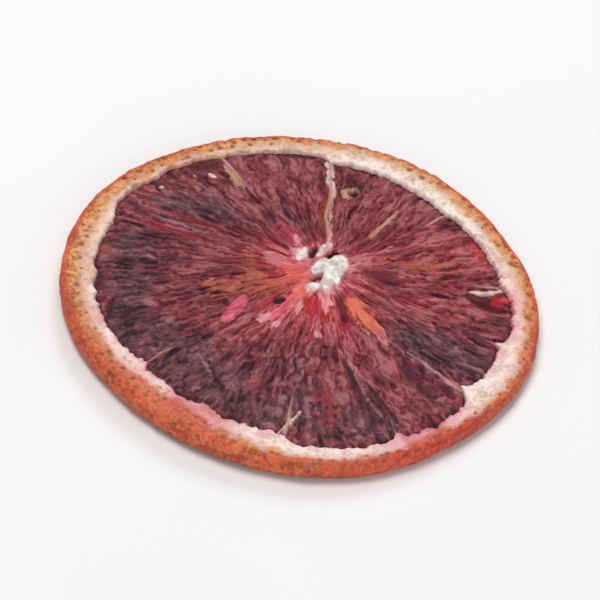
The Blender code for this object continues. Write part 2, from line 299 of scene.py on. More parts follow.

# Stains on the flesh, among them a painted shadow under the far lip and a painted highlight on the
# red spot: x and y of both ends, half width, colour, strength, and height
STAINS = (
    (-11.5, -1.5, -2, 0.8, 2.4, OCHRE, 0.7, 0),
    (-5.2, 1.4, -1.4, 1.9, 1.3, EMBER, 0.62, 0),
    (21.3, 11.2, 19.4, 14.8, 0.55, CRIMSON, 0.5, 0),
    # Painted shadow under the far lip of the pith, sunk a little
    (-7.4, 24.9, -0.8, 25.4, 0.65, DARK_HOLLOW, 0.72, -0.06),
    (-16, 19, -12.6, 21.4, 1.3, DARK_RED, 0.5, -0.05),
    (-24.5, 4, -24, 1.2, 0.65, RUSSET, 0.62, 0),
    (-24.4, -0.4, -23.6, -4.6, 0.8, DARK_HOLLOW, 0.45, -0.05),
    (13.2, -9.9, 17.6, -14, 1.15, DARK_HOLLOW, 0.6, -0.05),
    (20.2, -14, 18.9, -16, 0.7, ROSE, 0.45, 0),
    (13.6, -7.1, 20.7, -12.5, 0.32, PALE_MAUVE, 0.72, 0.08),
    (-22.8, 8.7, -13, 7.4, 0.5, WINE, 0.62, -0.04),
    (-19.6, 11.6, -10.4, 9.4, 0.42, WINE, 0.55, -0.03),
    (-18.6, 9.8, -12, 8.4, 0.32, MAUVE, 0.6, 0.04),
    (6.4, -10.6, 10.8, -20.6, 0.7, DARK_HOLLOW, 0.55, -0.06),
    (8.6, -12.2, 13.4, -19.6, 0.45, DARK_HOLLOW, 0.52, -0.06),
    (7.8, -12.6, 11.9, -20, 0.3, MAUVE, 0.55, 0.05),
    (5.2, -8.8, 11.2, -15.2, 0.3, DUSKY_PINK, 0.36, 0.04),
    (-9.8, -14.8, -7, -19.6, 0.5, DARK_HOLLOW, 0.5, -0.06),
    (-11.2, -12.8, -9, -17, 0.26, MAUVE, 0.6, 0.05),
    (0.4, -9.4, 2, -15.4, 0.45, MAUVE, 0.52, 0.04),
    (-0.9, -10, -0.4, -16, 0.4, DARK_HOLLOW, 0.45, -0.05),
    (4.2, -15.4, 6, -22.2, 1.5, WINE, 0.4, 0),
    (-7.4, 5.8, -5.4, 1.2, 1.6, OCHRE, 0.6, 0),
    (9, 8, 19, 9.6, 1.3, OCHRE, 0.55, 0),
    (-5, 6, -2.2, 4.6, 1.35, DUSKY_PINK, 0.9, 0.06),
    (-6.2, 3.8, -2.8, 2.6, 0.5, DEEP_RED, 0.5, -0.1),
    (-4.4, 12, -1.2, 8.6, 1.1, ROSE, 0.8, -0.04),
    (-4.6, 8.9, -2.4, 7.7, 0.45, DEEP_RED, 0.6, -0.08),
    (-2.4, 4.6, 0.9, 2, 2.1, CORAL, 1, 0.16),
    (0.2, 1.8, -1, -2.8, 1.2, CORAL, 1, 0.12),
    (-0.9, -1.8, -3.7, -5.7, 0.85, HOT_PINK, 0.9, 0.08),
    (-4.4, -6.3, -3.2, -4.8, 0.6, PALE_PINK, 0.85, 0.06),
    (-2.7, -6.8, -2.1, -5.7, 0.5, PALE_PINK, 0.65, 0.06),
    (0.3, -1.3, 0, -3.7, 0.45, PALE_PINK, 0.7, 0.08),
    (-2.9, -2.3, -1.9, -1.2, 0.6, DARK_HOLLOW, 0.95, -0.3),
    (-1.6, -0.7, -1.1, 0, 0.4, DEEP_RED, 0.7, -0.12),
    (1.2, 0.4, 1.9, -3.4, 1.05, CRIMSON, 0.9, -0.14),
    (2.1, 0.7, 3.6, -1.3, 0.6, PALE_PINK, 0.85, 0.12),
    (2.9, -1.2, 3.2, -3.8, 0.55, CRIMSON, 0.75, -0.04),
    (2.3, -3.4, 2.8, -7.4, 0.6, DUSKY_PINK, 0.7, 0.07),
    (2.6, -6.2, 2.8, -7.2, 0.55, PALE_PINK, 0.7, 0.05),
    (4.4, 1.2, 5.6, -3.8, 0.8, DEEP_RED, 0.9, -0.2),
    (5.8, 0.2, 9.8, -4.7, 1.4, ORANGE, 0.95, 0.12),
    (9, -3.8, 11.4, -6.4, 0.7, DUSKY_PINK, 0.5, 0.04),
    (7.2, 5.9, 11.4, 4.4, 1.5, MAROON, 0.5, 0),
    (5.3, 5.4, 6.1, 0.9, 1, ROSE, 0.85, -0.05),
    (6.1, 7.2, 9.8, 11, 0.9, DUSKY_PINK, 0.35, 0.06),
    (4.4, 8.6, 8.8, 12.8, 0.65, DEEP_RED, 0.35, -0.1),
    (-6.6, -1.8, -8.4, -7.5, 1.35, DEEP_RED, 0.6, -0.1),
    (-6.7, -2.2, -8.2, -7, 1.1, HOT_PINK, 0.95, 0.22),
    (-8.9, -3.2, -8.4, -4.4, 0.55, DARK_HOLLOW, 0.8, -0.14),
    (-0.9, 5.4, 0.4, 6.4, 0.6, DUSKY_PINK, 0.7, 0),
    (0.4, 6.7, 1, 8.7, 0.55, DARK_HOLLOW, 0.9, 0),
    (2.3, 6.9, 3.5, 8.5, 0.5, DARK_HOLLOW, 0.9, 0),
    (1.4, 2.6, 1.9, 3.3, 0.65, BROWN_HOLLOW, 0.85, 0),
    (2.3, 9.4, 1.8, 19.5, 0.6, STRAW, 0.48, 0.08),
    (1.8, 18.5, 0.9, 25.2, 0.6, BLUSH_WHITE, 0.55, 0.08),
    (1.5, 11.8, 1, 20.2, 0.55, RUST, 0.75, -0.06),
    (7.2, 12.2, 10.2, 17.6, 0.4, STRAW, 0.7, 0.1),
    (3.6, 19.6, 4.5, 20.1, 1.25, STRAW, 0.97, 0.12),
    (4.1, 19.6, 4.7, 19.9, 0.6, DARK_HOLLOW, 1, -0.5),
    (-11.8, 20.9, -8.8, 17.3, 0.48, STRAW, 0.85, 0.16),
    (-13.3, 19, -12.8, 18.6, 0.42, BLUSH_WHITE, 0.6, 0.08),
    (-15.4, 18.5, -15, 18.1, 0.32, BLUSH_WHITE, 0.45, 0.06),
    (-19.6, 14.8, -18.6, 15.1, 0.42, BLUSH_WHITE, 0.65, 0.1),
    (-0.2, -25.2, 2.3, -20.6, 0.24, BLUSH_WHITE, 0.8, 0.12),
    (20.1, 4.9, 22.4, 5.2, 0.4, BLUSH_WHITE, 0.85, 0.14),
    (21.6, 4.9, 24.4, 6.4, 0.42, BLUSH_WHITE, 0.85, 0.16),
    (20.8, 3.7, 24.6, 3.1, 1.3, DARK_RED, 1, -0.3),
    (23, 4.1, 25.3, 4.9, 0.95, RED, 0.96, 0),
    # Painted highlight on the red spot
    (24.1, 4.6, 25, 5, 0.42, CORAL, 0.75, 0.06),
)

# Curl of the whole slice
CURL_HEIGHT = 0.25
CURL_ANGLE = 60.0
CURL_LIFT = 0.03

# Mesh of the flesh: rays at the middle, doubled at each of two rings on the way out, and for each
# zone between them its outer end as a share of the way to the pith and its number of rings
CENTRE_RAYS = 224
FLESH_ZONES = ((0.14, 17), (0.38, 20), (1.0, 38))
FLESH_EDGE_RINGS = 2

# Mesh of the rim: rays, and the side and number of rings of each part of its section
RIM_RAYS = 1120
INNER_RINGS = 6
RIM_SECTION = (
    ("lip", 1.0, 7), ("face", 1.0, 18), ("round", 1.0, 4), ("wall", 0.0, 12),
    ("round", -1.0, 4), ("face", -1.0, 18), ("lip", -1.0, 7), ("inner", 0.0, INNER_RINGS),
)
RING_RADIUS = 3.0
MERGE_DISTANCE = 1e-4

# Rim's section: its lip over the flesh, its hidden inner side, and how deep its relief is sunk
LIP_SLOPE = 0.42
LIP_TUCK = 0.3
INNER_BULGE = 0.55
RELIEF_SINK = 0.08

# Oil glands, and the length that a rounded edge takes up in their pattern
ROUND_LENGTH = 1.2
GLAND_SPACING = 1.45
GLAND_DEPTH = 0.16

# Maps for baking: the flesh's two discs, and the margin round the rim's four strips
UV_DISC = 0.5684
UV_DISC_MIDDLES = (0.295, 0.705)
UV_MARGIN = 0.01

# Studio: lamps by place in metres, size and power, and the camera's angles in degrees
LAMPS = {
    "lamp_overhead": ((-0.25, 0.1, 0.8), 0.4, 4.2),
    "lamp_back": ((0.1, 0.75, 0.6), 0.35, 2.6),
    "lamp_front": ((0.1, -0.8, 0.3), 0.4, 1.5),
    "lamp_right": ((0.75, -0.35, 0.25), 0.4, 0.9),
}
WORLD_LIGHT = 0.3
CAMERA_ELEVATION = 42.2
CAMERA_ROLL = 9.17
CAMERA_REACH = 0.6
CAMERA_LENS = 300.0
AIM_HEIGHT = 0.0015
FLOOR_GREYS = (0.83, 0.83, 0.83), (0.86, 0.86, 0.86)


def smoothstep(low, high, value):
    """0 below low, 1 above high, and a smooth rise between them."""
    share = np.clip((value - low) / (high - low), 0.0, 1.0)
    return share * share * (3.0 - 2.0 * share)


def bell(value):
    """1 at nothing, falling off smoothly on both sides."""
    return np.exp(-(value**2))


def swell(x, y, z, *layers):
    """Smooth noise at each point, in layers of a strength, a grain size and a seed."""
    points = np.column_stack(np.broadcast_arrays(x, y, z))
    total = 0.0
    for strength, grain, seed in layers:
        rows = (points / grain + seed).tolist()
        total = total + strength * np.array([noise.noise(row) for row in rows])
    return total


def scatter(column, row, seed):
    """A number from 0 to 1 for each square of a grid, scattered but always the same."""
    value = np.sin(column * 127.1 + row * 311.7 + seed * 74.7) * 43758.5453
    return value - np.floor(value)


def cells_at(across, along, seed=0.0):
    """Cells round jittered seeds: distance to the seed, distance in from the border, number."""
    column, row = np.floor(across), np.floor(along)
    near = np.full(len(across), 9.0)
    next_near = near.copy()
    number = np.zeros(len(across))
    for right in (-1, 0, 1):
        for up in (-1, 0, 1):
            at, on = column + right, row + up
            seed_x = at + 0.1 + 0.8 * scatter(at, on, seed)
            seed_y = on + 0.1 + 0.8 * scatter(at, on, seed + 3.0)
            gap = np.hypot(seed_x - across, seed_y - along)
            closer = gap < near
            next_near = np.where(closer, near, np.minimum(next_near, gap))
            number = np.where(closer, scatter(at, on, seed + 7.0), number)
            near = np.where(closer, gap, near)
    return near, next_near - near, number


def by_angle(table, angle):
    """A measure given at some angles round the slice, read at others."""
    degrees, values = np.array(table).T
    return np.interp(np.degrees(angle), degrees, values, period=360.0)


def outline_radius(angle):
    """Distance from the middle of the slice to the skin."""
    radius = MEAN_RADIUS
    for waves, height, crest in OUTLINE_WAVES:
        radius = radius + height * np.cos(waves * (angle - math.radians(crest)))
    return radius


class Rays:
    """Straight lines from the core out to the skin, each at a turn of 0 to 1 round the slice."""

    def __init__(self, turn):
        table = np.array(SEGMENTS)
        count = len(table)
        spans = (np.roll(table[:, 0], -1) - table[:, 0]) % 360.0
        steps = np.round(spans / 360.0 * CENTRE_RAYS)
        steps[np.argmax(steps)] += CENTRE_RAYS - steps.sum()
        starts = np.concatenate(([0.0], np.cumsum(steps)))
        step = (turn % 1.0) * CENTRE_RAYS
        self.segment = np.clip(np.searchsorted(starts, step + 1e-6, side="right") - 1, 0, count - 1)
        even = np.clip((step - starts[self.segment]) / steps[self.segment], 0.0, 1.0)
        self.share = even - RAY_CROWDING * np.sin(TURN * even) / TURN
        span = np.radians(spans[self.segment])
        self.angle = np.radians(table[self.segment, 0]) + span * self.share
        radius = outline_radius(self.angle)
        skin = np.column_stack((radius * np.cos(self.angle), radius * np.sin(self.angle)))
        self.length = np.hypot(*(skin - CORE).T)
        self.direction = (skin - CORE) / self.length[:, None]
        self.spread = span * radius
        self.rim_width = self.blended(table[:, 1]) + self.webs(table[:, 2])
        self.rind_width = by_angle(RIND_WIDTHS, self.angle)
        nearer = np.where(self.share < 0.5, self.segment, (self.segment + 1) % count)
        self.shows = table[nearer, 3]
        self.flesh_length = self.length - self.rim_width

    def blended(self, values):
        """A measure of each segment, easing into the next one's across the membranes."""
        before, after = np.roll(values, 1), np.roll(values, -1)
        rising = smoothstep(-WIDTH_BLEND, WIDTH_BLEND, self.share)
        leaving = smoothstep(1.0 - WIDTH_BLEND, 1.0 + WIDTH_BLEND, self.share)
        value = before[self.segment] + (values - before)[self.segment] * rising
        return value + (after - values)[self.segment] * leaving

    def webs(self, values):
        """Extra pith where a membrane joins the rim."""
        after = np.roll(values, -1)
        from_start = self.share * self.spread / WEB_HALF_WIDTH
        from_end = (1.0 - self.share) * self.spread / WEB_HALF_WIDTH
        return values[self.segment] * np.exp(-from_start) + after[self.segment] * np.exp(-from_end)

    def place(self, distance):
        """The points of the slice at distances from the core along the rays."""
        return CORE + self.direction * distance[:, None]

    def membrane_gap(self, distance):
        """Distance from the nearest membrane."""
        return np.minimum(self.share, 1.0 - self.share) * self.spread * distance / self.length


def half_thickness(places):
    """Half the thickness of the rim, as far as the knife's slant changes it."""
    turn = math.radians(THICKEST_ANGLE)
    towards = places @ np.array((math.cos(turn), math.sin(turn))) / MEAN_RADIUS
    return (RIM_THICKNESS + THICKNESS_SLANT * towards) / 2


def curl(places):
    """Lift of the curled slice at a place, nothing at its middle."""
    angle = np.arctan2(places[:, 1], places[:, 0])
    outward = np.hypot(places[:, 0], places[:, 1]) / MEAN_RADIUS
    wave = CURL_HEIGHT * np.cos(2.0 * (angle - math.radians(CURL_ANGLE)))
    return (wave + CURL_LIFT) * outward * outward


def middle_of_box():
    """The middle of the slice's outline box, which goes over the origin."""
    rays = Rays(np.arange(RIM_RAYS) / RIM_RAYS)
    places = rays.place(rays.length + WALL_BULGE)
    return (places.min(axis=0) + places.max(axis=0)) / 2


MIDDLE = middle_of_box()


def settled(places, height):
    """Points in metres at heights over the slice's middle layer, curled and settled."""
    lift = np.maximum(0.0, half_thickness(places) + height + curl(places))
    return np.column_stack((places - MIDDLE, lift)) * MM


def streak_shape(places, ends, half_width, seed, soft=1.0, ragged=1.0):
    """1 along the middle of a streak, falling to 0 at its feathered edge."""
    start, end = np.array(ends).reshape(2, 2)
    run = end - start
    length = np.hypot(*run)
    along = (places - start) @ run / length
    across = (places - start) @ np.array((-run[1], run[0])) / length
    past_middle = np.abs(along / length - 0.5) * 2.0
    spot = length < 1.6 * half_width
    taper = 0.1 if spot else 0.45
    ragged = ragged * 0.4 if spot else ragged
    width = half_width * (1.0 - taper * np.minimum(past_middle, 1.3) ** 2)
    beyond = np.maximum(0.0, np.maximum(-along, along - length))
    out = np.hypot(across, beyond) / width
    close = out < 2.2
    across, along, out, seed = across[close], along[close], out[close], seed[close]
    out = out + ragged * swell(across, along * 0.2, seed, STREAK_FEATHER)
    out = out + ragged * swell(across, along, seed, STREAK_WAVES)
    shape = np.zeros(len(places))
    shape[close] = 1.0 - smoothstep(1.0 - soft, 1.0 + soft * 0.45, out)
    return shape


def sacs(rays, distance, outward, side):
    """The juice sacs: relief, how close a sac's wall is, and each sac's number."""
    x, y = rays.place(distance).T
    narrowing = SAC_WIDTH_AT_CORE + (1.0 - SAC_WIDTH_AT_CORE) * outward
    across = (rays.share - 0.5) * rays.spread * narrowing / SAC_WIDTH
    across = across + swell(x, y, side * 9.0, SAC_WANDER) + rays.segment * 40.0
    along = distance / SAC_LENGTH + swell(x, y, side * 9.0, SAC_SHIFT) + side * 50.0
    _, border, number = cells_at(across, along, seed=1.0)
    wall = bell(border / SAC_WALL_WIDTH)
    relief = SAC_WALL * wall + (number - SAC_LEVEL) * SAC_RELIEF * smoothstep(0.05, 0.55, border)
    return relief, wall, number


def flesh_finish(rays, outward, distance, side):
    """How far the flesh lies under the rim's face, and what its finish has to know.

    Side is 1 on the face that shows and -1 below. Multiples of it set the faces' noises apart.
    """
    places = rays.place(distance)
    x, y = places.T
    gap = rays.membrane_gap(distance)
    run_in = smoothstep(0.05, 0.3, outward)
    patchy = swell(x, y, side * 7.0, MEMBRANE_PATCHES)
    shows = smoothstep(-0.1, 0.22, outward + patchy - (1.0 - rays.shows))
    midway = np.sin(math.pi * np.clip(outward, 0.0, 1.0))
    sink = FLESH_SINK_AT_PITH + (FLESH_SINK_MIDWAY - FLESH_SINK_AT_PITH) * midway
    sink = sink + SEGMENT_SAG * np.sin(math.pi * rays.share) * outward
    edge_gap = np.maximum(0.0, rays.flesh_length - distance)
    sink = sink + CREVICE_DEPTH * bell(edge_gap / CREVICE_WIDTH)
    ridge = bell(gap / RIDGE_HALF_WIDTH) * (0.75 + swell(x, y, side * 3.0, RIDGE_UNEVENNESS))
    sink = sink - RIDGE_HEIGHT * ridge * run_in * (0.3 + 0.7 * shows)
    sink = sink + HOLLOW_DEPTH * bell((gap - HOLLOW_GAP) / HOLLOW_HALF_WIDTH) * run_in
    toward = (rays.direction * WRINKLE_TURNS).T
    sink = sink - swell(*toward, distance * WRINKLE_STRETCH + side * 20.0, *WRINKLES)
    relief, wall, number = sacs(rays, distance, outward, side)
    between = smoothstep(0.1, 0.45, gap) * smoothstep(1.8, 5.0, distance)
    sink = sink - relief * between
    white = np.zeros(len(distance))
    rough = 1.0 + swell(x, y, side * 5.0, *CRUMBS) * (distance < CRUMB_REACH)
    raised = np.zeros(len(distance))
    for index, (*ends, half_width, height, whiteness) in enumerate(CORE_LUMPS):
        seed = index * 5.0 + side * 50.0
        firm = whiteness > 0.5
        shape = streak_shape(places, ends, half_width, seed, 0.45 if firm else 1.0, 0.8)
        if height > 0.0:
            raised = np.maximum(raised, height * shape * rough)
            white = np.maximum(white, shape * whiteness)
        else:
            raised = raised + height * shape
            white = white * (1.0 - shape)
        if firm:
            halo = streak_shape(places, ends, half_width + HALO_WIDTH, seed + 2.0)
            white = np.maximum(white, halo * HALO_WHITENESS)
    sink = sink - raised
    stain = np.zeros((len(distance), 4))
    for index, (*ends, half_width, colour, strength, height) in enumerate(STAINS):
        soft = 1.0 if half_width > 0.6 else 0.55
        shape = streak_shape(places, ends, half_width, index + side * 30.0, soft)
        sink = sink - height * shape
        amount = (shape * strength)[:, None]
        under = stain[:, 3:] * (1.0 - amount)
        share = amount / np.maximum(amount + under, 1e-6)
        stain[:, :3] += (np.array(colour) - stain[:, :3]) * share
        stain[:, 3:] += (1.0 - stain[:, 3:]) * amount
    shade = np.zeros(len(distance))
    for index, (*ends, half_width, strength) in enumerate(SHADES):
        shade = shade + strength * streak_shape(places, ends, half_width, index + side * 40.0)
    finish = {
        "gap": gap,
        "shade": np.clip(shade, -1.0, 1.0),
        "shows": shows * run_in,
        "wall": wall * between,
        "sac": number,
        "white": white,
        "edge": edge_gap,
        "face": side,
        "stain": stain,
    }
    return sink, finish


def spun(mesh, steps):
    """Turn a row of edges all the way round the middle, and merge what meets."""
    bmesh.ops.spin(
        mesh, geom=mesh.verts[:] + mesh.edges[:], cent=(0, 0, 0), axis=(0, 0, 1),
        angle=TURN, steps=steps, use_merge=True,
    )
    bmesh.ops.remove_doubles(mesh, verts=mesh.verts, dist=MERGE_DISTANCE)


def spun_lens(rings, edge_rings):
    """A closed lens of two flat faces, its rings one unit apart, joined by rings at its edge."""
    mesh = bmesh.new()
    bow = [mesh.verts.new((ring, 0.0, 1.0)) for ring in range(rings)]
    for ring in range(edge_rings):
        bow.append(mesh.verts.new((rings + ring, 0.0, 0.5 - (ring + 1.0) / (edge_rings + 1.0))))
    bow += [mesh.verts.new((ring, 0.0, -1.0)) for ring in reversed(range(rings))]
    for inner, outer in zip(bow, bow[1:]):
        mesh.edges.new((inner, outer))
    spun(mesh, CENTRE_RAYS)
    return mesh


def double_rays(mesh, from_ring):
    """Halve every step round the lens on the rings from one ring outwards."""
    around = []
    for edge in mesh.edges:
        ends = [vert.co for vert in edge.verts]
        radii = [math.hypot(end.x, end.y) for end in ends]
        level = abs(ends[0].z - ends[1].z) < 1e-3 and abs(radii[0] - radii[1]) < 0.3
        if level and radii[0] > from_ring - 0.5:
            around.append(edge)
    bmesh.ops.subdivide_edges(mesh, edges=around, cuts=1, use_grid_fill=True)


def corners_of(mesh):
    """The places of all verts of a mesh, one row each."""
    return np.array([vert.co[:] for vert in mesh.verts])


def move_to(mesh, points):
    """Move the verts of a mesh to their places."""
    for vert, point in zip(mesh.verts, points):
        vert.co = point


def placed(name, data):
    """A new object of the scene."""
    thing = bpy.data.objects.new(name, data)
    bpy.context.scene.collection.objects.link(thing)
    return thing


def finished(mesh, name, finish, uvs):
    """A smooth object from a shaped mesh, with the measures that its material reads."""
    bmesh.ops.recalc_face_normals(mesh, faces=mesh.faces)
    data = bpy.data.meshes.new(name)
    mesh.to_mesh(data)
    mesh.free()
    for label, values in finish.items():
        kind, field = ("FLOAT_COLOR", "color") if np.ndim(values) == 2 else ("FLOAT", "value")
        layer = data.attributes.new(label, kind, "POINT")
        layer.data.foreach_set(field, values.astype(np.float32).ravel())
    corner_verts = np.zeros(len(data.loops), np.int32)
    data.loops.foreach_get("vertex_index", corner_verts)
    corners = [len(face.vertices) for face in data.polygons]
    face_of_corner = np.repeat(np.arange(len(corners)), corners)
    layer = data.uv_layers.new(name="OFBake")
    layer.data.foreach_set("uv", uvs(corner_verts, face_of_corner).astype(np.float32).ravel())
    data.polygons.foreach_set("use_smooth", np.ones(len(data.polygons), bool))
    return placed(name, data)


def face_least(values, face_of_corner):
    """The least value among the corners of each corner's own face."""
    least = np.full(face_of_corner[-1] + 1, np.inf)
    np.minimum.at(least, face_of_corner, values)
    return least[face_of_corner]


def make_flesh():
    """The lens of flesh with its membranes and core, one closed piece."""
    shares = [0.0]
    for end, rings in FLESH_ZONES:
        start = shares[-1]
        shares += [start + (end - start) * (ring + 1) / rings for ring in range(rings)]
    mesh = spun_lens(len(shares), FLESH_EDGE_RINGS)
    first = FLESH_ZONES[0][1]
    double_rays(mesh, first)
    double_rays(mesh, first + FLESH_ZONES[1][1])
    flat = corners_of(mesh)
    ring = np.rint(np.hypot(flat[:, 0], flat[:, 1])).astype(int)
    rays = Rays(np.arctan2(flat[:, 1], flat[:, 0]) / TURN)
    side = np.where(flat[:, 2] > 0.9, 1.0, np.where(flat[:, 2] < -0.9, -1.0, 0.0))
    face = np.where(flat[:, 2] > 0.0, 1.0, -1.0)
    outward = np.array(shares)[np.minimum(ring, len(shares) - 1)]
    distance = outward * rays.flesh_length
    sink, finish = flesh_finish(rays, outward, distance, face)
    places = rays.place(distance)
    tangent = np.column_stack((-rays.direction[:, 1], rays.direction[:, 0]))
    sway = swell(*places.T, side * 2.0, BEND)
    sway = sway * smoothstep(0.0, 0.25, outward) * (1.0 - smoothstep(0.85, 1.0, outward))
    places = places + tangent * sway[:, None]
    height = (half_thickness(places) - sink) * face
    tucked = side == 0.0
    edge_turn = np.arcsin(np.clip(flat[:, 2] * 2.0, -1.0, 1.0))
    tuck = rays.place(rays.flesh_length + FLESH_TUCK * np.cos(edge_turn))
    places = np.where(tucked[:, None], tuck, places)
    height = np.where(tucked, TUCKED_HALF_HEIGHT * np.sin(edge_turn), height)
    move_to(mesh, settled(places, height))

    def uvs(corner_verts, face_of_corner):
        """Two discs side by side on the diagonal, one for each face."""
        spread = places[corner_verts] / (2.0 * (MEAN_RADIUS + 2.0))
        least = face_least(flat[corner_verts, 2], face_of_corner)
        middle = np.where(least < -0.4, UV_DISC_MIDDLES[1], UV_DISC_MIDDLES[0])
        return spread * UV_DISC + middle[:, None]

    return finished(mesh, "flesh", finish, uvs)


def make_rim():
    """The ring of pith and rind, one closed piece."""
    section = [
        (kind, side, 1.0 - ring / rings if side < 0.0 else ring / rings)
        for kind, side, rings in RIM_SECTION
        for ring in range(rings)
    ]
    rows = len(section)
    mesh = bmesh.new()
    upright = Matrix.Rotation(math.pi / 2, 4, "X")
    turned = Matrix.Translation((RING_RADIUS, 0.0, 0.0)) @ upright
    bmesh.ops.create_circle(mesh, segments=rows, radius=1.0, matrix=turned)
    spun(mesh, RIM_RAYS)
    flat = corners_of(mesh)
    out = np.hypot(flat[:, 0], flat[:, 1]) - RING_RADIUS
    row = np.rint(np.arctan2(flat[:, 2], out) / TURN * rows).astype(int) % rows
    turn = np.rint(np.arctan2(flat[:, 1], flat[:, 0]) / TURN * RIM_RAYS).astype(int) % RIM_RAYS
    rays = Rays(turn / RIM_RAYS)
    kind, side, share = (np.array(column)[row] for column in zip(*section))
    circle = np.column_stack((np.cos(rays.angle), np.sin(rays.angle))) * MEAN_RADIUS

    def around(inward, *layers):
        """Noise that follows the skin and how far inwards a point lies."""
        return swell(*circle.T, inward, *layers)

    own = side * 6.0
    jag = around(own, JAG_NICKS) + np.abs(around(own, JAG_TEETH)) - 0.16
    jag = jag * (0.7 + np.abs(around(own, JAG_LIVELINESS))) + around(own, JAG_WAVES)
    blush = by_angle(BLUSH, rays.angle)
    jag = jag * (0.8 + 0.7 * np.minimum(blush, 1.0))
    lip = rays.flesh_length + np.where(side == 0.0, 0.0, jag)
    edge = rays.length - EDGE_ROUND
    top_start = lip + LIP_SLOPE
    flesh_level = FLESH_SINK_AT_PITH + LIP_TUCK
    slope = np.sin(share * math.pi / 2)
    inner_turn = (share + 0.5 / INNER_RINGS) * math.pi
    distance = np.select(
        [kind == "lip", kind == "face", kind == "round", kind == "wall", kind == "inner"],
        [
            lip + LIP_SLOPE * share**1.5,
            top_start + (edge - top_start) * share,
            edge + EDGE_ROUND * slope,
            rays.length + WALL_BULGE * np.sin(share * math.pi),
            rays.flesh_length + INNER_BULGE * np.sin(inner_turn),
        ],
    )
    depth = rays.length - distance
    rind = rays.rind_width - np.maximum(depth, 0.0)
    rind = rind + around(own, RIND_BORDER) + around(own + depth, RIND_FRINGE)
    in_pith = smoothstep(0.35, -0.2, rind) * smoothstep(0.0, 0.6, distance - lip)
    drop = RIND_DROP * smoothstep(rays.rind_width, EDGE_ROUND, depth) + 0.1 * in_pith
    face_sink = np.select(
        [kind == "lip", kind == "face", kind == "round"],
        [
            flesh_level * (1.0 - slope) + drop * slope,
            drop,
            RIND_DROP + EDGE_ROUND * (1.0 - np.cos(share * math.pi / 2)),
        ],
        0.0,
    )
    places = rays.place(distance)
    half = half_thickness(places)
    wall_half = half - RIND_DROP - EDGE_ROUND
    height = np.select(
        [kind == "wall", kind == "inner"],
        [wall_half * np.cos(share * math.pi), -(half - flesh_level) * np.cos(inner_turn)],
        side * (half - face_sink),
    )
    profile = np.select(
        [kind == "wall", side >= 0.0],
        [ROUND_LENGTH + (wall_half - height), -depth],
        2.0 * (ROUND_LENGTH + wall_half) + depth,
    )
    arc = rays.angle * MEAN_RADIUS
    near, _, number = cells_at(arc / GLAND_SPACING, profile / GLAND_SPACING, seed=2.0)
    near = near + around(profile, GLAND_UNEVENNESS)
    gland = 1.0 - smoothstep(0.04, 0.18 + 0.34 * number, near)
    gland = gland * smoothstep(-0.3, 0.1, rind)
    skin = np.isin(kind, ("wall", "round"))
    pitted = GLAND_DEPTH * gland * np.where(skin, 1.0, 0.8)
    uneven = around(profile, PEBBLES) + around(profile * 0.5, WALL_WAVES)
    spongy = (swell(*places.T, side * 4.0, *SPONGE) + 0.02) * smoothstep(0.3, -0.2, rind)
    rough = pitted + uneven + spongy + RELIEF_SINK
    height = height - np.where(np.isin(kind, ("face", "lip")), side * rough, 0.0)
    height = np.where(kind == "round", height - side * rough * 0.6, height)
    places = places - rays.direction * np.where(skin, rough, 0.0)[:, None]
    move_to(mesh, settled(places, height))
    finish = {
        "rind": np.where(skin, np.maximum(rind, 0.6), rind),
        "gland": gland,
        "depth": depth,
        "from_flesh": distance - lip,
        "blush": blush,
        "chalk": by_angle(CHALK, rays.angle),
        "ripe": by_angle(RIPENESS, rays.angle),
        "redness": by_angle(WALL_REDNESS, rays.angle),
        "skin": np.where(skin, 1.0, 0.0),
    }

    def uvs(corner_verts, face_of_corner):
        """Four strips, one over the other, each for a quarter of the ring."""

        def unrolled(values, count):
            """The steps of a face's corners, without a jump where the ring closes."""
            values = values[corner_verts].astype(float)
            least, most = face_least(values, face_of_corner), -face_least(-values, face_of_corner)
            jumps = (most - least > count / 2) & (values < count / 2)
            return np.where(jumps, values + count, values)

        at, on = unrolled(turn, RIM_RAYS), unrolled(row, rows)
        quarter = np.floor(face_least(at, face_of_corner) / (RIM_RAYS / 4))
        along = (at / (RIM_RAYS / 4) - quarter) * (1.0 - 2.0 * UV_MARGIN) + UV_MARGIN
        across = quarter + on / rows * (1.0 - 4.0 * UV_MARGIN) + 2.0 * UV_MARGIN
        return np.column_stack((along, across / 4.0))

    return finished(mesh, "rim", finish, uvs)


class Number:
    """The output of a node that holds one number, for use in sums."""

    def __init__(self, finish, socket):
        self.finish = finish
        self.socket = socket

    def sum(self, operation, first, second):
        """A Math node on two numbers."""
        return self.finish.node("Math", {"operation": operation}, {0: first, 1: second})

    def __add__(self, other):
        return self.sum("ADD", self, other)

    def __sub__(self, other):
        return self.sum("SUBTRACT", self, other)

    def __rsub__(self, other):
        return self.sum("SUBTRACT", other, self)

    def __mul__(self, other):
        return self.sum("MULTIPLY", self, other)

    def __truediv__(self, other):
        return self.sum("DIVIDE", self, other)

    __radd__ = __add__
    __rmul__ = __mul__


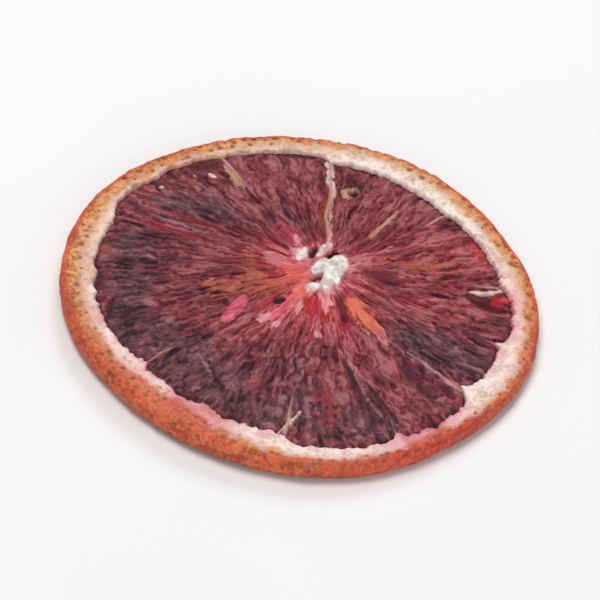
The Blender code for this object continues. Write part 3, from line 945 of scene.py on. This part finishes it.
class Finish:
    """A material that is built up from nodes."""

    def __init__(self, name):
        self.material = bpy.data.materials.new(name)
        self.material.use_nodes = True
        self.tree = self.material.node_tree
        self.shader = self.tree.nodes["Principled BSDF"]

    def node(self, kind, settings=None, inputs=None, output=0):
        """One node: its type, its settings, and the values or links of its sockets."""
        node = self.tree.nodes.new("ShaderNode" + kind)
        for name, value in (settings or {}).items():
            setattr(node, name, value)
        for name, value in (inputs or {}).items():
            self.set(node.inputs[name], value)
        return Number(self, node.outputs[output])

    def set(self, socket, value):
        """Give a socket a value or a link."""
        if isinstance(value, Number):
            self.tree.links.new(value.socket, socket)
        elif isinstance(value, tuple) and len(value) == 3 and len(socket.default_value) == 4:
            socket.default_value = value + (1.0,)
        else:
            socket.default_value = value

    def measure(self, name, output=2):
        """A measure that the mesh carries at its verts."""
        return self.node("Attribute", {"attribute_name": name}, output=output)

    def vector(self, operation, first, second=None, output=0):
        """A Vector Math node, which takes the number of a SCALE at a socket of its own."""
        inputs = {0: first}
        if second is not None:
            inputs[3 if operation == "SCALE" else 1] = second
        return self.node("VectorMath", {"operation": operation}, inputs, output)

    def place(self):
        """Where the point lies in the slice, in millimetres."""
        return self.vector("SCALE", self.node("TexCoord", output=3), 1.0 / MM)

    def noise(self, vector, scale, detail=3.0, roughness=0.55):
        """Cloudy noise from 0 to 1, with so many grains to a millimetre."""
        inputs = {"Vector": vector, "Scale": scale, "Detail": detail, "Roughness": roughness}
        return self.node("TexNoise", {}, inputs)

    def step(self, value, low, high):
        """0 below low, 1 above high, and a smooth rise between them."""
        if low > high:
            return 1.0 - self.step(value, high, low)
        inputs = {"Value": value, "From Min": low, "From Max": high}
        return self.node("MapRange", {"interpolation_type": "SMOOTHSTEP"}, inputs)

    def mix(self, first, second, factor):
        """A colour between two."""
        return self.node("Mix", {"data_type": "RGBA"}, {0: factor, 6: first, 7: second}, 2)

    def bump(self, height, depth, below=None):
        """A normal that follows a height from 0 to 1, over so many millimetres."""
        inputs = {"Height": height, "Distance": depth * MM, "Strength": 1.0}
        if below is not None:
            inputs["Normal"] = below
        return self.node("Bump", {}, inputs)

    def ramp(self, value, stops):
        """A colour that follows a value through a row of stops."""
        ramp = self.node("ValToRGB", {}, {0: value})
        points = ramp.socket.node.color_ramp.elements
        while len(points) < len(stops):
            points.new(0.5)
        for point, (position, colour) in zip(points, stops):
            point.position = position
            point.color = colour + (1.0,)
        return ramp

    def finish(self, colour, roughness, normal, specular):
        """Link the shader and give back the material."""
        inputs = {"Base Color": colour, "Roughness": roughness, "Normal": normal}
        inputs["Specular IOR Level"] = specular
        for name, value in inputs.items():
            self.set(self.shader.inputs[name], value)
        return self.material


def flesh_material():
    """Dried juice sacs from grey maroon to wine red, pale membranes, and white pith at the core
    with painted grey shade.
    """
    f = Finish("dried_flesh")
    place = f.place()
    offset = f.vector("SUBTRACT", place, tuple(CORE - MIDDLE) + (0.0,))
    flat = f.vector("MULTIPLY", offset, (1.0, 1.0, 0.0))
    distance = f.vector("LENGTH", flat, output=1)
    toward = f.vector("NORMALIZE", flat)
    drift = f.node("TexNoise", {}, {"Vector": place, "Scale": 0.42, "Detail": 2.0}, output=1)
    drift = f.vector("SCALE", f.vector("SUBTRACT", drift, (0.5, 0.5, 0.5)), 1.7)
    face = f.measure("face") * 30.0

    def drawn_out(turns, lengthwise):
        """Coordinates that draw a noise out along the rays."""
        swing = f.vector("ADD", f.vector("SCALE", toward, turns), drift)
        along = f.node("CombineXYZ", {}, {"Z": distance * lengthwise + face})
        return f.vector("ADD", swing, along)

    grain, core_grain = drawn_out(14.0, 0.19), drawn_out(6.0, 0.19)
    apart = f.step(distance, 4.0, 9.5)

    def fibrous(scale, outer, inner):
        """Noise drawn out along the rays, coarser round the core, where the rays crowd."""
        spread, crowded = f.noise(grain, scale, *outer), f.noise(core_grain, scale, *inner)
        return spread * apart + crowded * (1.0 - apart)

    streaks = f.noise(drawn_out(14.0, 0.11), 0.95)
    fibres = fibrous(2.1, (2.5, 0.5), (2.5, 0.5))
    fine = fibrous(5.5, (3.0, 0.6), (2.0, 0.5))
    patch = f.noise(place, 0.6, 3.0, 0.6)
    crumb = f.noise(place, 1.3, 3.0, 0.6)
    shade = f.measure("shade")
    more_streaks, more_fine, more_patch = streaks - 0.5, fine - 0.5, patch - 0.5
    lively = more_streaks * 1.15 + (fibres - 0.5) * 2.5 + more_fine * 0.7
    # Sacs that stand higher come out lighter and sunken ones darker: partly each sac's own tone,
    # partly painted shade in the hollows
    lively = lively + (f.measure("sac") - 0.5) * 0.28
    region = f.noise(place, 0.16, 2.0, 0.5) - 0.5
    tone = 0.58 + lively + region * 0.5 - shade * 0.2 - f.step(distance, 16.0, 24.0) * 0.04
    greyed = f.step(shade + lively * 0.5 + more_patch * 0.6, 0.1, 0.8)
    colour = f.mix(f.ramp(tone, MAROON_TONES), f.ramp(tone, GREY_TONES), greyed * 0.85)

    # Red that glows out from the core, furthest towards the lower left
    lower_left = f.vector("DOT_PRODUCT", toward, (-0.5, -0.87, 0.0), output=1)
    reach = distance + 1.4 - lower_left * 3.6 + more_patch * 8.0
    glow = f.step(reach + more_streaks * 12.0, 13.0, 3.0)
    warm = f.step(shade * -1.0 + more_patch * 0.8, 0.0, 1.0) * 0.36
    colour = f.mix(colour, f.ramp(tone, RED_TONES), glow + warm * (1.0 - glow))
    sac_walls = f.measure("wall") * f.step(patch, 0.3, 0.62)
    colour = f.mix(colour, SAC_WALL_PINK, sac_walls * 0.45)
    tissue = f.step(distance + more_patch * 5.0 + more_streaks * 7.0, 7.5, 1.5)
    threads = f.step(fibres * 0.8 + fine * 0.2, 0.42, 0.64)
    colour = f.mix(colour, TISSUE_PINK, tissue * threads * 0.64)

    # Stains, woven into the fibres
    stain, amount = f.measure("stain", 0), f.measure("stain", 3)
    ragged = f.step(amount + lively * (1.2 - amount) * 1.2, 0.14, 0.7)
    weave = fibres * 0.55 + fine * 0.25 + streaks * 0.2
    dark_stain = f.mix(stain, STAIN_SHADOW, 0.66 - amount * 0.18)
    pale_stain = f.mix(stain, STAIN_LIGHT, f.measure("stain") * 0.85)
    dappled = f.mix(dark_stain, stain, f.step(weave, 0.36, 0.5))
    dappled = f.mix(dappled, pale_stain, f.step(weave, 0.5, 0.64))
    colour = f.mix(colour, dappled, ragged * f.step(amount, 0.0, 0.2))
    glint = f.noise(grain, 11.0, 2.0) + more_streaks * 0.4
    colour = f.mix(colour, GLINT, f.step(glint, 0.6, 0.72) * 0.12)

    # Membranes, and the shadow along the pith
    shows = f.measure("shows")
    gap = f.measure("gap") + more_fine * 0.25
    line = f.step(gap / (0.12 + shows * 0.12), 1.15, 0.45)
    thread = f.mix(*MEMBRANE, shows * (0.35 + patch))
    colour = f.mix(colour, thread, line * (shows * 0.8 + 0.12))
    along_pith = f.step(f.measure("edge"), 0.55, 0.1) * f.step(patch, 0.3, 0.66)
    colour = f.mix(colour, EDGE_SHADOW, along_pith * 0.8)

    # White pith of the core with painted grey shade in patches, and pink round it
    plain_white = f.measure("white")
    white = plain_white + (more_fine * 0.4 + more_patch * 0.8) * f.step(plain_white, 0.0, 0.12)
    fringe = f.mix(*CORE_FRINGE, f.step(weave, 0.4, 0.58))
    colour = f.mix(colour, fringe, f.step(white, 0.0, 0.3) * 0.9)
    # The core's white pith, with painted grey shade in patches
    pith = f.mix(*CORE_PITH_SHADE_AND_WHITE, f.step(crumb * 0.6 + patch * 0.4, 0.4, 0.58))
    pith = f.mix(CORE_PINK, pith, f.step(plain_white + (crumb - 0.5) * 0.4, 0.52, 0.84))
    white = f.step(white, 0.26, 0.8)
    colour = f.mix(colour, pith, white)

    rough = 0.22 + f.noise(place, 1.2) * 0.4 + white * 0.3
    firm = 1.0 - white * 0.8
    normal = f.bump(fibrous(5.0, (4.0, 0.65), (3.0, 0.6)) * firm, 0.25)
    normal = f.bump(f.noise(place, 3.0, 4.0, 0.65) * firm, 0.08, normal)
    return f.finish(colour, rough, normal, 0.17)


def rim_material():
    """Cream pith, and orange rind with its oil glands."""
    f = Finish("dried_rind")
    place = f.place()
    measures = ("rind", "gland", "skin", "depth", "from_flesh", "blush", "chalk", "ripe", "redness")
    rind, gland, skin, depth, from_flesh, blush, chalk, ripe, redness = map(f.measure, measures)
    cloud = f.noise(place, 0.5)
    speck = f.noise(place, 2.2, 4.0, 0.6)
    fine = f.noise(place, 6.0, 4.0, 0.65)
    mottle = f.noise(place, 1.1, 2.0, 0.5)
    clouds, specks, fines = cloud - 0.5, speck - 0.5, fine - 0.5
    even = speck * 0.5 + cloud * 0.5
    specky = cloud * 0.5 + speck * 0.6

    # Pith, from cream to chalk, pink by the flesh
    grain = f.step(specky, 0.4, 0.62)
    chalky = f.step(chalk + clouds * 1.2 + (from_flesh - 1.0) * -0.25, 0.15, 0.85)
    pith = f.mix(f.mix(*CREAM, grain), f.mix(*CHALKY, grain), chalky)
    pith = f.mix(pith, PITH_PINK, f.step(fine * 0.4 + cloud * 0.6, 0.6, 0.44) * blush * 0.8)
    stained = f.step(from_flesh + clouds * 3.0 + specks * 1.5, 1.5, 0.2)
    pith = f.mix(pith, JUICE_PINK, stained * (0.08 + blush * 0.75))
    flush = f.step(blush + clouds * 3.0 + specks, 1.0, 2.2)
    pith = f.mix(pith, FLUSH_RED, flush * 0.8)
    soaked = f.step(from_flesh + specks * 2.0, 0.45, 0.05)
    pith = f.mix(pith, JUICE_RED, soaked * (0.06 + blush * 0.6))

    # Rind on the cut face, from gold to vermilion
    gold = f.mix(*GOLD, f.step(even, 0.42, 0.6))
    gold = f.mix(gold, PALE_GOLD, f.step(mottle + fines * 0.35, 0.44, 0.66) * 0.8)
    vermilion = f.mix(*VERMILION, f.step(even, 0.4, 0.6))
    reddened = f.step(ripe + (mottle - 0.5) * 2.4 + specks * 0.8, 0.15, 0.9)
    gold = f.mix(gold, vermilion, reddened * 0.9)
    burnt = f.mix(*BURNT_EDGE, f.step(specky, 0.42, 0.66))
    orange = f.mix(gold, burnt, f.step(depth + specks * 1.8 + clouds * 1.2, 1.5, 0.45))
    scarlet = f.mix(*SCARLET, f.step(speck * 0.7 + fine * 0.3, 0.38, 0.6))
    orange = f.mix(orange, scarlet, flush * 0.7)

    # Wall, orange to red, with aged gold patches
    wall = f.mix(*WALL_ORANGE, f.step(cloud * 0.6 + speck * 0.5, 0.4, 0.66))
    red = f.mix(*WALL_RED, f.step(specky, 0.4, 0.66))
    wall = f.mix(wall, red, f.step(redness + clouds * 1.2, 0.2, 0.9) * 0.9)
    aged = f.step(mottle + specks * 0.8 + fines * 0.3, 0.5, 0.68) * (1.0 - redness * 0.8)
    wall = f.mix(wall, AGED_GOLD, aged * 0.5)
    orange = f.mix(orange, wall, skin)

    border = f.step(rind + clouds * 4.0 + specks * 2.4 + fines * 1.4, -0.6, 0.65)
    pore = f.step(gland + fines * 0.7, 0.1, 0.85)
    colour = f.mix(f.mix(pith, orange, border), PORE_BROWN, pore * (0.86 - skin * 0.38))
    normal = f.bump(fine, 0.06, f.bump(speck, 0.1))
    return f.finish(colour, 0.55 + fine * 0.25, normal, 0.4)


def studio_floor():
    """A pale table top."""
    mesh = bmesh.new()
    bmesh.ops.create_grid(mesh, x_segments=1, y_segments=1, size=1.5)
    data = bpy.data.meshes.new("floor")
    mesh.to_mesh(data)
    mesh.free()
    floor = placed("floor", data)
    f = Finish("pale_table")
    cloud = f.noise(f.place(), 0.02, 2.0)
    colour = f.mix(*FLOOR_GREYS, cloud)
    data.materials.append(f.finish(colour, 0.6, f.bump(cloud, 0.01), 0.3))


def soft_light(name, place, size, power):
    """A square lamp that faces the slice."""
    lamp = bpy.data.lights.new(name, "AREA")
    lamp.shape = "SQUARE"
    lamp.size = size
    lamp.energy = power
    light = placed(name, lamp)
    light.location = place
    light.rotation_euler = Vector(place).to_track_quat("Z", "Y").to_euler()


def studio():
    """Floor, soft lamps, pale world, and the camera at the photograph's viewing angle."""
    studio_floor()
    for name, (place, size, power) in LAMPS.items():
        soft_light(name, place, size, power)
    world = bpy.data.worlds.new("studio")
    bpy.context.scene.world = world
    world.use_nodes = True
    background = world.node_tree.nodes["Background"]
    background.inputs["Color"].default_value = (1.0, 1.0, 1.0, 1.0)
    background.inputs["Strength"].default_value = WORLD_LIGHT
    bpy.context.scene.view_settings.view_transform = "Standard"
    lens = bpy.data.cameras.new("camera")
    lens.lens = CAMERA_LENS
    lens.sensor_width = 36.0
    camera = placed("camera", lens)
    elevation = math.radians(CAMERA_ELEVATION)
    back = Vector((0.0, -math.cos(elevation), math.sin(elevation)))
    camera.location = Vector((0.0, 0.0, AIM_HEIGHT)) + back * CAMERA_REACH
    facing = back.to_track_quat("Z", "Y").to_matrix().to_4x4()
    roll = Matrix.Rotation(math.radians(CAMERA_ROLL), 4, "Z")
    camera.rotation_euler = (facing @ roll).to_euler()
    bpy.context.scene.camera = camera


def dress(piece, material):
    """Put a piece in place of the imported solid."""
    piece.data.materials.append(material)
    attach(piece, "root")
    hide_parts("slice")


dress(make_flesh(), flesh_material())
dress(make_rim(), rim_material())
studio()
